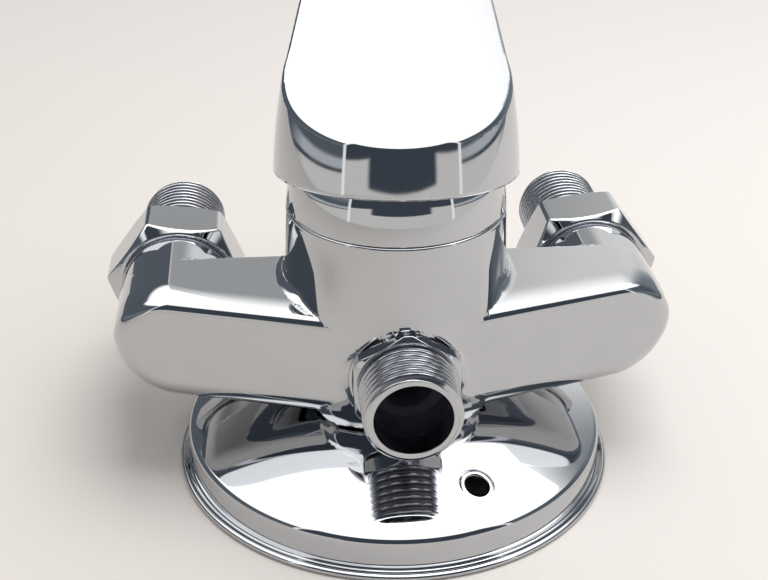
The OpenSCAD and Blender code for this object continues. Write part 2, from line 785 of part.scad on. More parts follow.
// The space under the crowned top face, which rises towards the tip
module under_top_face(inset = 0) {
    translate([0, 0, top_h]) rotate([top_rise, 0, 0]) translate([0, -FAR, -crown_r])
        rotate([-90, 0, 0]) cylinder(r = crown_r - inset, h = 2 * FAR, $fn = 360);
}

// The space above the lever's underside, which closes on the top face towards the tip
module over_underside() {
    taper = atan(root_extra / (lever_reach - cap_r));
    translate([0, 0, top_h]) rotate([top_rise, 0, 0])
        translate([0, cap_r, -tip_t - root_extra]) rotate([taper, 0, 0])
            translate([-FAR / 2, -FAR, 0]) cube([FAR, 2 * FAR, FAR]);
}

// Radius of the skirt at a distance from the pin: a cone that swells a little between its ends
function skirt_at(up) = skirt_r - skirt_slope * (up - rim_up)
    + skirt_swell * sin(180 * min(1, (up - rim_up) / (cone_up - rim_up)));

// Half section of the skirt and the cap, with the rim's edge rounded
module skirt_profile() {
    rim = [for (a = [0 : 18 : 90])
        [skirt_at(rim_up + rim_round) - rim_round * (1 - sin(a)), rim_up + rim_round * (1 - cos(a))]];
    side = [for (i = [1 : 10]) let (up = rim_up + rim_round + (skirt_top_up - rim_up - rim_round) * i / 10)
        [skirt_at(up), up]];
    polygon(concat([[0, rim_up]], rim, side, [[0, skirt_top_up]]));
}

module handle() {
    color("silver") difference() {
        intersection() {
            union() {
                on_spindle() rotate_extrude($fn = 128) skirt_profile();
                intersection() {
                    linear_extrude(FAR) lever_plan();
                    over_underside();
                    translate([-FAR / 2, 0, 0]) cube(FAR);
                }
            }
            under_top_face();
        }
        // Hollow of the cap, with the hub left standing in it
        intersection() {
            on_spindle() difference() {
                translate([0, 0, rim_up - EPS])
                    cylinder(r1 = skirt_r - skirt_wall,
                        r2 = skirt_r - skirt_wall - skirt_slope * (ceiling_up - rim_up),
                        h = ceiling_up - rim_up, $fn = 128);
                translate([0, 0, hub_up]) cylinder(d = hub_d, h = FAR);
            }
            under_top_face(cap_wall);
        }
        on_spindle() translate([-hub_hole_w / 2, -hub_hole_w / 2, 0])
            cube([hub_hole_w, hub_hole_w, spindle_up + slide_gap]);
        on_spindle() translate([0, 0, grub_up]) rotate([-90, 0, 0]) {
            cylinder(d = grub_d + 2 * run_fit, h = skirt_r, $fn = 48);
            translate([0, 0, hub_d / 2 + 1]) cylinder(d = plug_d + 2 * run_fit, h = FAR, $fn = 48);
        }
    }
}

module handle_screw() {
    color("dimgray") on_spindle() translate([0, spindle_w / 2, grub_up]) rotate([-90, 0, 0])
        difference() {
            cylinder(d = grub_d, h = grub_l, $fn = 48);
            translate([0, 0, grub_l - 2]) cylinder(r = grub_d / 4, h = 3, $fn = 6);
        }
}

module handle_plug() {
    color("lightgray") on_spindle() translate([0, skirt_at(grub_up) - skirt_wall - 1, grub_up])
        rotate([-90, 0, 0]) {
            cylinder(d = plug_d, h = skirt_wall + 0.8, $fn = 48);
            translate([0, 0, -0.6]) cylinder(d1 = plug_d - 1, d2 = plug_d, h = 0.6, $fn = 48);
        }
}

wall_plate();
plate_gasket();
plate_nut();
body();
outlet_nipple();
outlet_washer();
union_nut(-1);  // left_union_nut
union_nut(1);  // right_union_nut
union_tail(-1);  // left_union_tail
union_tail(1);  // right_union_tail
inlet_washer(-1);  // left_inlet_washer
inlet_washer(1);  // right_inlet_washer
cartridge_base();
port_seals();
fixed_disc();
turned() moving_disc();
turned() disc_carrier();
cartridge_housing();
turned() turret();
turned() spindle();
turned() spindle_pin();
clamp_ring();
bonnet();
turned() handle();
turned() handle_screw();
turned() handle_plug();
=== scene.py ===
import math

import bpy
import numpy as np
from mathutils import Matrix, Vector


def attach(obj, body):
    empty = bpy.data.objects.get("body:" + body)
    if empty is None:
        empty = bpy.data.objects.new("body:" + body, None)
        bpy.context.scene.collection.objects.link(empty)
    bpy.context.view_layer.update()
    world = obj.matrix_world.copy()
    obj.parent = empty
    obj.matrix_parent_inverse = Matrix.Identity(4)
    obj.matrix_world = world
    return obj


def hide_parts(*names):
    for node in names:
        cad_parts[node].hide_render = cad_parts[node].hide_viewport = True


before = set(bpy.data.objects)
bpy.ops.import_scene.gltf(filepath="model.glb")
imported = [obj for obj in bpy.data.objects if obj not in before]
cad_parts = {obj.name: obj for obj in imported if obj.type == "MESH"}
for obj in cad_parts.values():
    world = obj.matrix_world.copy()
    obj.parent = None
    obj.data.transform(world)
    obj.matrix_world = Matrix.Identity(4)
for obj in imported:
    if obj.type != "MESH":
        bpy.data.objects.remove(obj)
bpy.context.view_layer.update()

# Wall plate: the round cover that hides the pipe work in the wall. It is pressed from brass sheet
# with a bead rolled round its rim, polished and chrome plated. Two screws go through punched
# holes, whose rims the punch leaves standing up a little. Sizes are millimetres and degrees.
MM = 0.001
SHEET_T = 1.2
BEAD_R, BEAD_AT, BEAD_END = 0.8, 49.9, 125
WALL_R, CREASE_R, CREASE_Z = 48.5, 0.45, 1.85
SHOULDER_AT, SHOULDER_Z, SHOULDER_R = 46.5, 7.7, 2.0
EDGE_SLOPE, FACE_CROWN = 24.35, 0.5
HUB_R, HUB_Z, HUB_LEAN = 20.2, 19.4, 10
STUD_HOLE_R = 10.3
SCREW_HOLE_R, SCREW_RING = 2.6, 38.8
SCREW_ANGLES = (292, 112)
PUNCH_ROUND, PUNCH_RISE, PUNCH_PEAK, PUNCH_WIDTH = 0.35, 0.3, 0.4, 0.8


def arc(centre, radius, start, end, steps):
    """Points on a circle: the centre plus the radius times cosine and sine of even angles."""
    angle = np.radians(np.linspace(start, end, steps))
    return np.stack([centre[0] + radius * np.cos(angle), centre[1] + radius * np.sin(angle)], 1)


def grid_quads(index, closed_rows=True):
    """Faces between neighbouring rows and columns of an index grid whose columns close."""
    right = np.roll(index, -1, axis=1)
    quads = np.stack([index, right, np.roll(right, -1, axis=0), np.roll(index, -1, axis=0)], -1)
    return (quads if closed_rows else quads[:-1]).reshape(-1, 4)


def make_piece(name, points, quads, normals=None):
    """Writes points in millimetres and quads into an object. A point's normal is the sum of the
    area vectors of its faces, so a long face stays flat beside a narrow rounded edge."""
    a, b, c, d = (points[quads[:, k]] for k in range(4))
    area = np.cross(c - a, d - b)
    if ((a + b + c + d) * area).sum() < 0:
        quads, area = quads[:, ::-1], -area
    if normals is None:
        normals = np.zeros_like(points)
        for k in range(4):
            np.add.at(normals, quads[:, k], area)
        normals /= np.maximum(np.linalg.norm(normals, axis=1, keepdims=True), 1e-12)
    mesh = bpy.data.meshes.new(name)
    mesh.from_pydata((points * MM).tolist(), [], quads.tolist())
    mesh.polygons.foreach_set("use_smooth", np.ones(len(quads), bool))
    mesh.normals_split_custom_set_from_vertices(normals.tolist())
    obj = bpy.data.objects.new(name, mesh)
    bpy.context.scene.collection.objects.link(obj)
    return obj


def face_line(inset):
    """Where the conical face leaves the shoulder's arc and where it meets the hub."""
    slope = math.radians(EDGE_SLOPE)
    radius = SHOULDER_R - inset
    start = np.array([SHOULDER_AT + radius * math.sin(slope), SHOULDER_Z + radius * math.cos(slope)])
    end = np.array([HUB_R - inset * math.tan(math.radians(HUB_LEAN)), HUB_Z - inset])
    return start, end


def face_height(rho, inset):
    """Height over the wall: the straight line from shoulder to hub plus a parabola for the crown."""
    start, end = face_line(inset)
    t = (start[0] - rho) / (start[0] - end[0])
    return start[1] + (end[1] - start[1]) * t + 4 * FACE_CROWN * t * (1 - t)


def face_points(inset, steps):
    """Even points of the crowned face from the shoulder to the hub, then the stud hole's edge."""
    start, end = face_line(inset)
    rho = np.linspace(start[0], end[0], steps)
    face = np.stack([rho, face_height(rho, inset)], 1)
    return np.concatenate([face, [[STUD_HOLE_R, end[1]]]])


def screw_hole(points, outer, inner, angle):
    """A tube of faces through the sheet: from a window's border straight to the hole's rounded
    rim, through the sheet, and out to the same window's border on the inner face. The face rises
    towards the rim by a bell curve of the distance from the hole."""
    centre = SCREW_RING * np.array([math.cos(angle), math.sin(angle)])
    rim = SCREW_HOLE_R + PUNCH_ROUND
    part = np.linspace(0, 1, 10)[1:, None]
    bend = np.radians(np.linspace(18, 90, 5))[:, None]
    drop = np.concatenate([0 * part, PUNCH_ROUND * (1 - np.cos(bend))])
    rings = []
    for side, inset, border in ((1, 0.0, outer), (-1, SHEET_T, inner)):
        away = points[border][:, :2] - centre
        reach = np.linalg.norm(away, axis=1)
        away = away / reach[:, None]
        distance = np.concatenate([reach + (rim - reach) * part ** 0.7,
                                   rim - PUNCH_ROUND * np.sin(bend) + 0 * reach])
        plan = centre + away * distance[..., None]
        rise = PUNCH_RISE * np.exp(-((distance - SCREW_HOLE_R - PUNCH_PEAK) / PUNCH_WIDTH) ** 2)
        height = face_height(np.linalg.norm(plan, axis=2), inset) + rise - side * drop
        rings.append(np.concatenate([plan, height[..., None]], 2)[::side])
    rings = np.concatenate(rings)
    numbers = len(points) + np.arange(rings.shape[0] * rings.shape[1]).reshape(rings.shape[:2])
    index = np.concatenate([outer[None], numbers, inner[None]])
    return np.concatenate([points, rings.reshape(-1, 3)]), grid_quads(index, closed_rows=False)


FACE_STEPS, ROUND_STEPS = 41, 360
bead = arc((BEAD_AT, BEAD_R), BEAD_R, -90, BEAD_END, 16)
crease = arc((WALL_R + CREASE_R, CREASE_Z), CREASE_R, 250, 180, 6)
shoulder = arc((SHOULDER_AT, SHOULDER_Z), SHOULDER_R, 0, 90 - EDGE_SLOPE, 16)
rim_line = np.concatenate([bead, crease, shoulder[:-1]])
inner_shoulder = arc((SHOULDER_AT, SHOULDER_Z), SHOULDER_R - SHEET_T, 0, 90 - EDGE_SLOPE, 8)
inner_wall = np.concatenate([[[WALL_R - SHEET_T, 0.0]], inner_shoulder[:-1]])
section = np.concatenate([rim_line, face_points(0, FACE_STEPS), face_points(SHEET_T, FACE_STEPS)[::-1],
                          inner_wall[::-1]])
turn = np.radians(np.arange(ROUND_STEPS) * 360 / ROUND_STEPS)
plate_points = np.stack([section[:, :1] * np.cos(turn), section[:, :1] * np.sin(turn),
                         section[:, 1:] + 0 * turn], 2).reshape(-1, 3)
plate_index = np.arange(len(plate_points)).reshape(len(section), ROUND_STEPS)
plate_quads = grid_quads(plate_index).reshape(len(section), ROUND_STEPS, 4)
kept = np.ones(plate_quads.shape[:2], bool)
hole_quads = []
# Round each screw hole a window of the grid, so many rows by so many columns, gives way to a tube.
WINDOW_ROWS, WINDOW_HALF = np.array([4, 21]), 9
outer_rows = len(rim_line) + WINDOW_ROWS
inner_rows = len(section) - len(inner_wall) - 1 - WINDOW_ROWS
for hole in SCREW_ANGLES:
    columns = np.arange(hole - WINDOW_HALF, hole + WINDOW_HALF + 1) % ROUND_STEPS
    borders = []
    for first, last in (outer_rows, inner_rows):
        rows = np.linspace(first, last, abs(last - first) + 1).astype(int)
        borders.append(np.concatenate([
            plate_index[first, columns[:-1]], plate_index[rows[:-1], columns[-1]],
            plate_index[last, columns[:0:-1]], plate_index[rows[:0:-1], columns[0]]]))
        kept[np.ix_(np.arange(min(first, last), max(first, last)), columns[:-1])] = False
    plate_points, quads = screw_hole(plate_points, *borders, math.radians(hole))
    hole_quads.append(quads)
plate = make_piece("wall_plate_pressing", plate_points, np.concatenate([plate_quads[kept]] + hole_quads))


def linear(hex_colour):
    """An sRGB hex colour as the linear values that a shader takes."""
    value = [int(hex_colour[k:k + 2], 16) / 255 for k in (1, 3, 5)]
    return [v / 12.92 if v <= 0.04045 else ((v + 0.055) / 1.055) ** 2.4 for v in value] + [1.0]


def add(tree, kind, inputs=None, **settings):
    """Adds a node with its settings, and gives each named input a value or a link."""
    node = tree.nodes.new("ShaderNode" + kind)
    for key, value in settings.items():
        setattr(node, key, value)
    for key, value in (inputs or {}).items():
        if isinstance(value, bpy.types.NodeSocket):
            tree.links.new(value, node.inputs[key])
        else:
            node.inputs[key].default_value = value
    return node


def surface(name, colour, metallic, rough, grain_mm, bump_mm=0.0, edge_mm=0.0, coat=0.0, bare_and_shade=None):
    """A finish whose tone, roughness and height wander with noise of a real grain size: the tone
    down to 93 percent, the roughness between its two values over the noise's usual range. The
    attribute that a piece may carry turns plating into rougher metal of a dark blue grey: partly
    the raw metal under the plate, partly painted shade for bores and thread grooves."""
    mat = bpy.data.materials.new(name)
    mat.use_nodes = True
    tree = mat.node_tree
    shader = tree.nodes["Principled BSDF"]
    place = add(tree, "TexCoord").outputs["Object"]
    grain = add(tree, "TexNoise", {"Vector": place, "Scale": 1 / (grain_mm * MM), "Detail": 4.0})
    grain = grain.outputs["Fac"]
    light, dark = linear(colour), [0.93 * c for c in linear(colour)]
    shade = add(tree, "Mix", {"Factor": grain, "A": light, "B": dark}, data_type="RGBA").outputs["Result"]
    polish = add(tree, "MapRange", {"Value": grain, "From Min": 0.35, "From Max": 0.75,
                                    "To Min": rough[0], "To Max": rough[1]}).outputs["Result"]
    # Painted shade: where a piece carries the attribute, the tone turns to the dark blue grey bare colour
    # and the roughness to 0.6. This is partly raw metal and partly painted shade of bores and grooves.
    if bare_and_shade:
        bare_shade = add(tree, "Attribute", attribute_name="bare_and_shade").outputs["Fac"]
        shade = add(tree, "Mix", {"Factor": bare_shade, "A": shade, "B": linear(bare_and_shade)}, data_type="RGBA")
        shade = shade.outputs["Result"]
        polish = add(tree, "Mix", {"Factor": bare_shade, "A": polish, "B": 0.6}).outputs["Result"]
    tree.links.new(shade, shader.inputs["Base Color"])
    tree.links.new(polish, shader.inputs["Roughness"])
    shader.inputs["Metallic"].default_value = metallic
    shader.inputs["Coat Weight"].default_value = coat
    facing = None
    if edge_mm:
        facing = add(tree, "Bevel", {"Radius": edge_mm * MM}, samples=6).outputs["Normal"]
    if bump_mm:
        waves = {"Strength": 1.0, "Distance": bump_mm * MM, "Height": grain}
        if facing:
            waves["Normal"] = facing
        facing = add(tree, "Bump", waves).outputs["Normal"]
    if facing:
        tree.links.new(facing, shader.inputs["Normal"])
    return mat


def dress(obj, mat, body, node=None):
    """Gives a piece its material, the body it moves with, and the node that it stands for."""
    obj.data.materials.append(mat)
    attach(obj, body)
    if node:
        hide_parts(node)


# Chromium plate over buffed brass: a cool mirror. Buffing by hand leaves waves of about 9 mm that
# bend reflections a little, and the plating doesn't reach into bores, which stay raw and rougher.
# Their dark blue grey colour is painted shade, deepest in bores and thread grooves.
CHROME = surface("buffed_chrome_plate", "#c1c3c6", 1.0, (0.03, 0.06), 9.0, bump_mm=0.004, bare_and_shade="#8f8d9c")
dress(plate, CHROME, "base", "wall_plate")


def refinish(mat, *nodes):
    """Gives the construction's own solids the material of the real piece."""
    for node in nodes:
        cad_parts[node].data.materials.clear()
        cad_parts[node].data.materials.append(mat)


# Gasket and lock nut behind the plate: a moulded rubber ring under the body's foot, dull black,
# and a thin hexagon nut turned from brass bar, yellow with fine tool marks, that pulls the body
# and the plate together on the stud.
RUBBER = surface("moulded_black_rubber", "#1d1e1f", 0.0, (0.55, 0.75), 0.6, bump_mm=0.02)
BRASS = surface("turned_brass_bar", "#c7a45a", 1.0, (0.22, 0.36), 0.7, bump_mm=0.01, edge_mm=0.15)
refinish(RUBBER, "plate_gasket")
refinish(BRASS, "plate_nut")

# Body: one brass casting with the barrel for the cartridge, two swept arms, the inlet bosses, the
# outlet boss with its belly, and the waterways. It is buffed, which softens every edge, and the
# folds where the arms' bright top edges run into the barrel are cast fillets.
AXIS_Z = 34.0
BARREL_R, BARREL_LOW_R = 24.1, 24.9
BODY_LOW, ARM_TOP, JOINT_Z = 20.5, 47.5, 64.5
ARM_SWEEP, ARM_BACK, ARM_CROWN = math.radians(16.7), 10, 0.022
ARM_EDGE, ARM_EDGE_MORE, ARM_BACK_EDGE = 1.6, 5.9, 2
BARREL_LOW_EDGE, BOSS_EDGE, BORE_EDGE = 4, 0.6, 0.25
SHARP = 0.05
INLET_X = 50.0
BOSS_R, BOSS_START, BOSS_FACE = 13.5, 0.5, 19
SPIGOT_R, SPIGOT_FACE = 12.0, 26.6
OUTLET_FACE, OUTLET_R = 25.0, 12.2
RIM_CUT, OUTLET_CUT = 0.5, 0.8
FLARE, FLARE_REACH = 0.75, 3.5
BELLY_R, BELLY_Z, BELLY_TAPER = 17.5, 28.3, 5.7
BELLY_FROM, BELLY_RUN, BELLY_LEAN = 19.15, 5.1, 0.75
BELLY_SET_BACK, BELLY_START, PLATE_GAP = 0.5, 8, 0.8
FOOT_R, FOOT_LOW, FOOT_TOP = 16, 20.2, 30
STUD_R, STUD_LOW = 10, 9.2
CHAMBER_R, CHAMBER_FLOOR = 20, 43.2
CLAMP_R, CLAMP_FLOOR = 21.6, 58.2
INLET_R, INLET_END = 7.5, 1
PASSAGE_R, PASSAGE_Y, PASSAGE_END = 6, 1, 7
PORT_R, PORT_X, PORT_Y, PORT_TOP = 3.2, 11, 3.5, 44
SOCKET_R, SOCKET_END = 8.1, 16
DRAIN_R, DRAIN_Y = 4.5, 9
BODY_CELL = 0.72


def round_max(a, b, r):
    """Meeting of two solids with the outer edge rounded to a radius."""
    return np.minimum(np.maximum(a, b), -r) + np.hypot(np.maximum(a + r, 0), np.maximum(b + r, 0))


def round_min(a, b, r):
    """Union of two solids with the inner edge filleted to a radius."""
    return np.maximum(np.minimum(a, b), r) - np.hypot(np.maximum(r - a, 0), np.maximum(r - b, 0))


def ramp(value, start, end):
    """Smooth step from 0 at start to 1 at end."""
    t = np.clip((value - start) / (end - start), 0, 1)
    return t * t * (3 - 2 * t)


def gradient(field, p, h=0.04):
    """Central differences of a field along the three axes."""
    steps = np.eye(3) * h
    return np.stack([(field(*(p + s).T) - field(*(p - s).T)) / (2 * h) for s in steps], 1)


def skin(name, field, low, high, step):
    """Skin of a casting that is given as a distance from its surface, negative inside. Each cell
    of a grid that the surface crosses gets the mean of its edge crossings as a point, the point
    moves down the gradient onto the surface in four steps, each of less than half a cell, and
    its normal is the gradient there. A face joins the four cells round each crossed edge."""
    axes = [np.arange(low[k] - step, high[k] + 2 * step, step) for k in range(3)]
    value = field(*np.meshgrid(*axes, indexing="ij"))
    inside = value < 0
    cells = [n - 1 for n in value.shape]
    total, count = np.zeros(cells + [3]), np.zeros(cells)

    def corner(grid, c):
        return grid[c[0]:c[0] + cells[0], c[1]:c[1] + cells[1], c[2]:c[2] + cells[2]]

    for a in np.ndindex(2, 2, 2):
        for k in range(3):
            if a[k] == 0:
                b = tuple(v + (i == k) for i, v in enumerate(a))
                va, vb = corner(value, a), corner(value, b)
                hit = corner(inside, a) != corner(inside, b)
                t = np.where(hit, va / np.where(hit, va - vb, 1.0), 0.0)
                for i in range(3):
                    total[..., i] += hit * (a[i] + (t if i == k else 0.0))
                count += hit
    used = count > 0
    number = np.full(cells, -1)
    number[used] = np.arange(used.sum())
    p = total[used] / count[used][:, None] + np.argwhere(used)
    p = np.array([axis[0] for axis in axes]) + p * step
    quads = []
    for k in range(3):
        u, v = (k + 1) % 3, (k + 2) % 3
        here, there = [slice(None)] * 3, [slice(None)] * 3
        here[k], there[k] = slice(0, -1), slice(1, None)
        enters = inside[tuple(here)]
        edge = np.argwhere(enters != inside[tuple(there)])
        edge = edge[(edge[:, u] > 0) & (edge[:, v] > 0)
                    & (edge[:, u] < value.shape[u] - 1) & (edge[:, v] < value.shape[v] - 1)]
        ring = []
        for du, dv in ((-1, -1), (0, -1), (0, 0), (-1, 0)):
            cell = edge.copy()
            cell[:, u] += du
            cell[:, v] += dv
            ring.append(number[tuple(cell.T)])
        ring = np.stack(ring, 1)
        quads.append(np.where(enters[tuple(edge.T)][:, None], ring, ring[:, ::-1]))
    quads = np.concatenate(quads)
    quads = quads[(quads >= 0).all(1)]
    for _ in range(4):
        g = gradient(field, p)
        move = g * (field(*p.T) / np.maximum((g * g).sum(1), 0.05))[:, None]
        length = np.linalg.norm(move, axis=1, keepdims=True)
        p = p - move * np.minimum(1.0, 0.45 * step / np.maximum(length, 1e-9))
    n = gradient(field, p)
    n /= np.maximum(np.linalg.norm(n, axis=1, keepdims=True), 1e-9)
    return make_piece(name, p, quads, n)


def waterways(x, y, z):
    """Chamber, clamp thread, inlets, passages, ports, socket and drain: the least of their
    distances, each a cylinder between two planes."""
    ax, rho, out = np.abs(x), np.hypot(x, y), np.hypot(x, z - AXIS_Z)
    up_to_floor = np.maximum(AXIS_Z - z, z - PORT_TOP)
    return np.minimum.reduce([
        np.maximum(rho - CHAMBER_R, CHAMBER_FLOOR - z),
        np.maximum(rho - CLAMP_R, CLAMP_FLOOR - z),
        np.maximum(np.hypot(ax - INLET_X, z - AXIS_Z) - INLET_R, -INLET_END - y),
        np.maximum(np.hypot(y + PASSAGE_Y, z - AXIS_Z) - PASSAGE_R,
                   np.maximum(PASSAGE_END - ax, ax - INLET_X)),
        np.maximum(np.hypot(ax - PORT_X, y - PORT_Y) - PORT_R, up_to_floor),
        np.maximum(out - SOCKET_R, y + SOCKET_END),
        np.maximum(out - DRAIN_R, y + DRAIN_Y),
        np.maximum(np.hypot(x, y + DRAIN_Y) - DRAIN_R, up_to_floor),
    ])


def plate_top(rho):
    """Height of the wall plate's upper side: the flat hub, then the crowned face."""
    return np.where(rho < HUB_R, HUB_Z, face_height(rho, 0))


def barrel_and_arms(x, y, z):
    """Distance from the barrel, whose wall leans in above the arms, and the arms: planes swept
    back from the barrel, with half cylinders for ends and a crowned upper front edge. Beside the
    arms' front planes the wall is filled out towards them. Ramps say where, in millimetres, a
    filling or a fillet fades in."""
    ax, rho = np.abs(x), np.hypot(x, y)
    front = ax * math.sin(ARM_SWEEP) - y * math.cos(ARM_SWEEP) - BARREL_LOW_R
    lean = (BARREL_LOW_R - BARREL_R) * np.clip((z - ARM_TOP) / (JOINT_Z - ARM_TOP), 0, 1)
    wall = rho - BARREL_LOW_R
    beside = (ax > BARREL_LOW_R * math.sin(ARM_SWEEP)) & (y < 0)
    filled = np.where(beside, np.minimum(wall, front), wall)
    wall = wall + (filled - wall) * ramp(z, JOINT_Z - 1, ARM_TOP) * ramp(ax, 22, 15)
    barrel = np.maximum(wall + lean, z - JOINT_Z + RIM_CUT)
    barrel = round_max(barrel, BODY_LOW - z, BARREL_LOW_EDGE)
    end = np.hypot(np.maximum(ax - INLET_X, 0), z - AXIS_Z) - BOSS_R
    end = end + ARM_CROWN * ramp(z, AXIS_Z, AXIS_Z + 10) * np.maximum(front + 8, 0) ** 2
    edge = ARM_EDGE + ARM_EDGE_MORE * ramp(z, AXIS_Z + BOSS_R, AXIS_Z - BOSS_R)
    arm = round_max(round_max(end, front, edge), y - ARM_BACK, ARM_BACK_EDGE)
    from_inlet = np.hypot(ax - INLET_X, z - AXIS_Z)
    boss = np.maximum(round_max(from_inlet - BOSS_R, y - BOSS_FACE, BOSS_EDGE), BOSS_START - y)
    arm = round_min(arm, boss, SHARP + 1.5 * ramp(ax, 48, 42))
    fillet = SHARP + (0.35 + 1.8 * ramp(z, 38, 45)) * np.maximum(ramp(ax, 17, 24), ramp(y, -8, 0))
    return round_min(barrel, arm, fillet)


def casting(x, y, z):
    """Distance from the casting: the barrel and arms, flared a little round the outlet, then the
    belly under the outlet, which narrows towards its face, the outlet boss, the spigots under
    the union nuts, the foot and the stud, less the waterways. The casting stops just short of
    the faces that the lathe turns."""
    ax, rho = np.abs(x), np.hypot(x, y)
    from_outlet = np.hypot(x, z - AXIS_Z)
    flare = FLARE * np.exp(-np.maximum(from_outlet - OUTLET_R, 0) / FLARE_REACH)
    solid = barrel_and_arms(x, y, z) - flare * ramp(-y, 12, 20) * ramp(z, 38, 43)
    part = np.clip((-y - BELLY_FROM) / BELLY_RUN, 0, 1)
    belly = np.hypot(x, z - BELLY_Z - BELLY_TAPER * part) - BELLY_R + BELLY_TAPER * part
    belly = round_max(BELLY_LEAN * belly, -y - OUTLET_FACE + BELLY_SET_BACK, 1.0)
    belly = round_max(belly, plate_top(rho) + PLATE_GAP - z, 0.5)
    belly = np.maximum(belly, y + BELLY_START)
    solid = round_min(solid, belly, 0.2 + 1.8 * ramp(z, 34, 26))
    outlet = np.maximum(round_max(from_outlet - OUTLET_R, OUTLET_CUT - y - OUTLET_FACE, 0.4), y)
    solid = round_min(solid, outlet, 0.3 + 1.2 * ramp(z, 34, 26))
    spigot = np.maximum(np.hypot(ax - INLET_X, z - AXIS_Z) - SPIGOT_R, np.maximum(y - SPIGOT_FACE, -y))
    foot = np.minimum(np.maximum(rho - FOOT_R, FOOT_LOW - z), np.maximum(rho - STUD_R, STUD_LOW - z))
    foot = np.maximum(foot, z - FOOT_TOP)
    solid = np.minimum(np.minimum(solid, spigot), foot)
    return round_max(solid, -waterways(x, y, z), BORE_EDGE)


def mark_bare_and_shade(obj, depth):
    """Writes the attribute for bare metal and painted shade, 1 where a point lies in a bore by the given
    depth field.
    """
    co = np.empty(len(obj.data.vertices) * 3)
    obj.data.vertices.foreach_get("co", co)
    x, y, z = co.reshape(-1, 3).T / MM
    attribute = obj.data.attributes.new("bare_and_shade", "FLOAT", "POINT")
    attribute.data.foreach_set("value", np.clip(depth(x, y, z), 0, 1).astype(np.float32))


body = skin("body_casting", casting, (-64, -26, 8.5), (64, 28, 65), BODY_CELL)
# Painted shade: the body's bores below the rim take the dark bare colour.
mark_bare_and_shade(body, lambda x, y, z: ramp(waterways(x, y, z), 0.3, 0.1) * (z < JOINT_Z - 0.5))
dress(body, CHROME, "base", "body")

# Turned edges of the body: the lathe leaves the barrel's rim and the outlet boss's face true and
# crisp, so that the bonnet and the outlet's washer seat on them. They are the same chromed metal
# as the body, drawn here as two rings whose low ends are sunk just under its skin.
RIM_DEPTH, CLAMP_BORE = 3.5, 21.65
OUTLET_DEPTH, OUTLET_BORE = 4.0, 8.4
SUNK = 0.04


def outline(corners, arc_steps=5):
    """Closed half section from corners (along, radius, rounding, longest step to the next one).
    A rounded corner is the parabola that touches both sides at the rounding's distance."""
    corners = [tuple(c) + (0.0, math.inf)[len(c) - 2:] for c in corners]
    place = np.array([c[:2] for c in corners])
    points = []
    for k, (_, _, rounding, step) in enumerate(corners):
        here = place[k]
        back, ahead = place[k - 1] - here, place[(k + 1) % len(place)] - here
        if rounding:
            a = here + back / np.linalg.norm(back) * rounding
            b = here + ahead / np.linalg.norm(ahead) * rounding
            t = np.linspace(0, 1, arc_steps)[:, None]
            points.append((1 - t) ** 2 * a + 2 * t * (1 - t) * here + t ** 2 * b)
        else:
            points.append(here[None])
        if step < np.linalg.norm(ahead):
            next_rounding = corners[(k + 1) % len(corners)][2]
            start = points[-1][-1]
            end = place[(k + 1) % len(place)] - ahead / np.linalg.norm(ahead) * next_rounding
            number = int(np.linalg.norm(end - start) / step)
            points.append(start + (end - start) * np.linspace(0, 1, number + 2)[1:-1, None])
    return np.concatenate(points)


def full_turn(steps):
    """Even angles round a full turn, in radians."""
    return np.arange(steps) * 2 * math.pi / steps


def all_round(half_section, steps):
    """A half section's along and radius, a row for each point and a column for each angle."""
    return half_section[:, :1] + np.zeros(steps), half_section[:, 1:] + np.zeros(steps)


def turned(name, along, radius, origin, axis):
    """A closed half section carried round an axis: origin + along * axis + radius * (side *
    cosine + up * sine), side being +X. The radius may change with the angle, as on a hexagon or
    a thread."""
    axis, side = np.array(axis, float), np.array((1.0, 0.0, 0.0))
    up = np.cross(axis, side)
    angle = full_turn(radius.shape[1])
    across = np.cos(angle)[:, None] * side + np.sin(angle)[:, None] * up
    points = np.array(origin) + along[..., None] * axis + radius[..., None] * across
    index = np.arange(radius.size).reshape(radius.shape)
    return make_piece(name, points.reshape(-1, 3), grid_quads(index))


rim_low = JOINT_Z - RIM_DEPTH
rim_lean = (BARREL_LOW_R - BARREL_R) / (JOINT_Z - ARM_TOP)
rim_section = outline([
    (rim_low, CLAMP_BORE), (rim_low, BARREL_R + rim_lean * RIM_DEPTH - SUNK, 0.0, 0.25),
    (JOINT_Z, BARREL_R + 0.02, 0.6), (JOINT_Z, CLAMP_BORE)])
along, radius = all_round(rim_section, 256)
rim = turned("barrel_rim_turned", along, radius, (0, 0, 0), (0, 0, 1))
dress(rim, CHROME, "base")
outlet_low = OUTLET_FACE - OUTLET_DEPTH
outlet_section = outline([
    (outlet_low, OUTLET_BORE), (outlet_low, OUTLET_R - SUNK, 0.0, 0.25),
    (OUTLET_FACE, OUTLET_R + 0.03, 0.4), (OUTLET_FACE, OUTLET_BORE)])
along, radius = all_round(outlet_section, 256)
outlet_edge = turned("outlet_boss_turned", along, radius, (0, 0, AXIS_Z), (0, -1, 0))
dress(outlet_edge, CHROME, "base")

# Outlet nipple: turned from brass bar with a hexagon for the spanner, whose corners are turned
# off, and the half inch thread for the hose. It is screwed into the body's outlet on a washer.
PIPE_R, PITCH, THREAD_DEPTH, THREAD_FADE = 10.478, 1.814, 1.162, 0.8
SHANK_START, SHANK_R, SHANK_BORE = 16.0, 8.0, 6.0
HEX_BACK, HEX_EDGE, HEX_FRONT = 25.8, 28.5, 29.2
HEX_AF, HEX_TURNED_R, HEX_FACE_R = 22.6, 12.5, 11.35
MOUTH, HOSE_BORE, HOSE_BORE_START = 41.1, 8.25, 26.8
OUTSIDE = 9.4


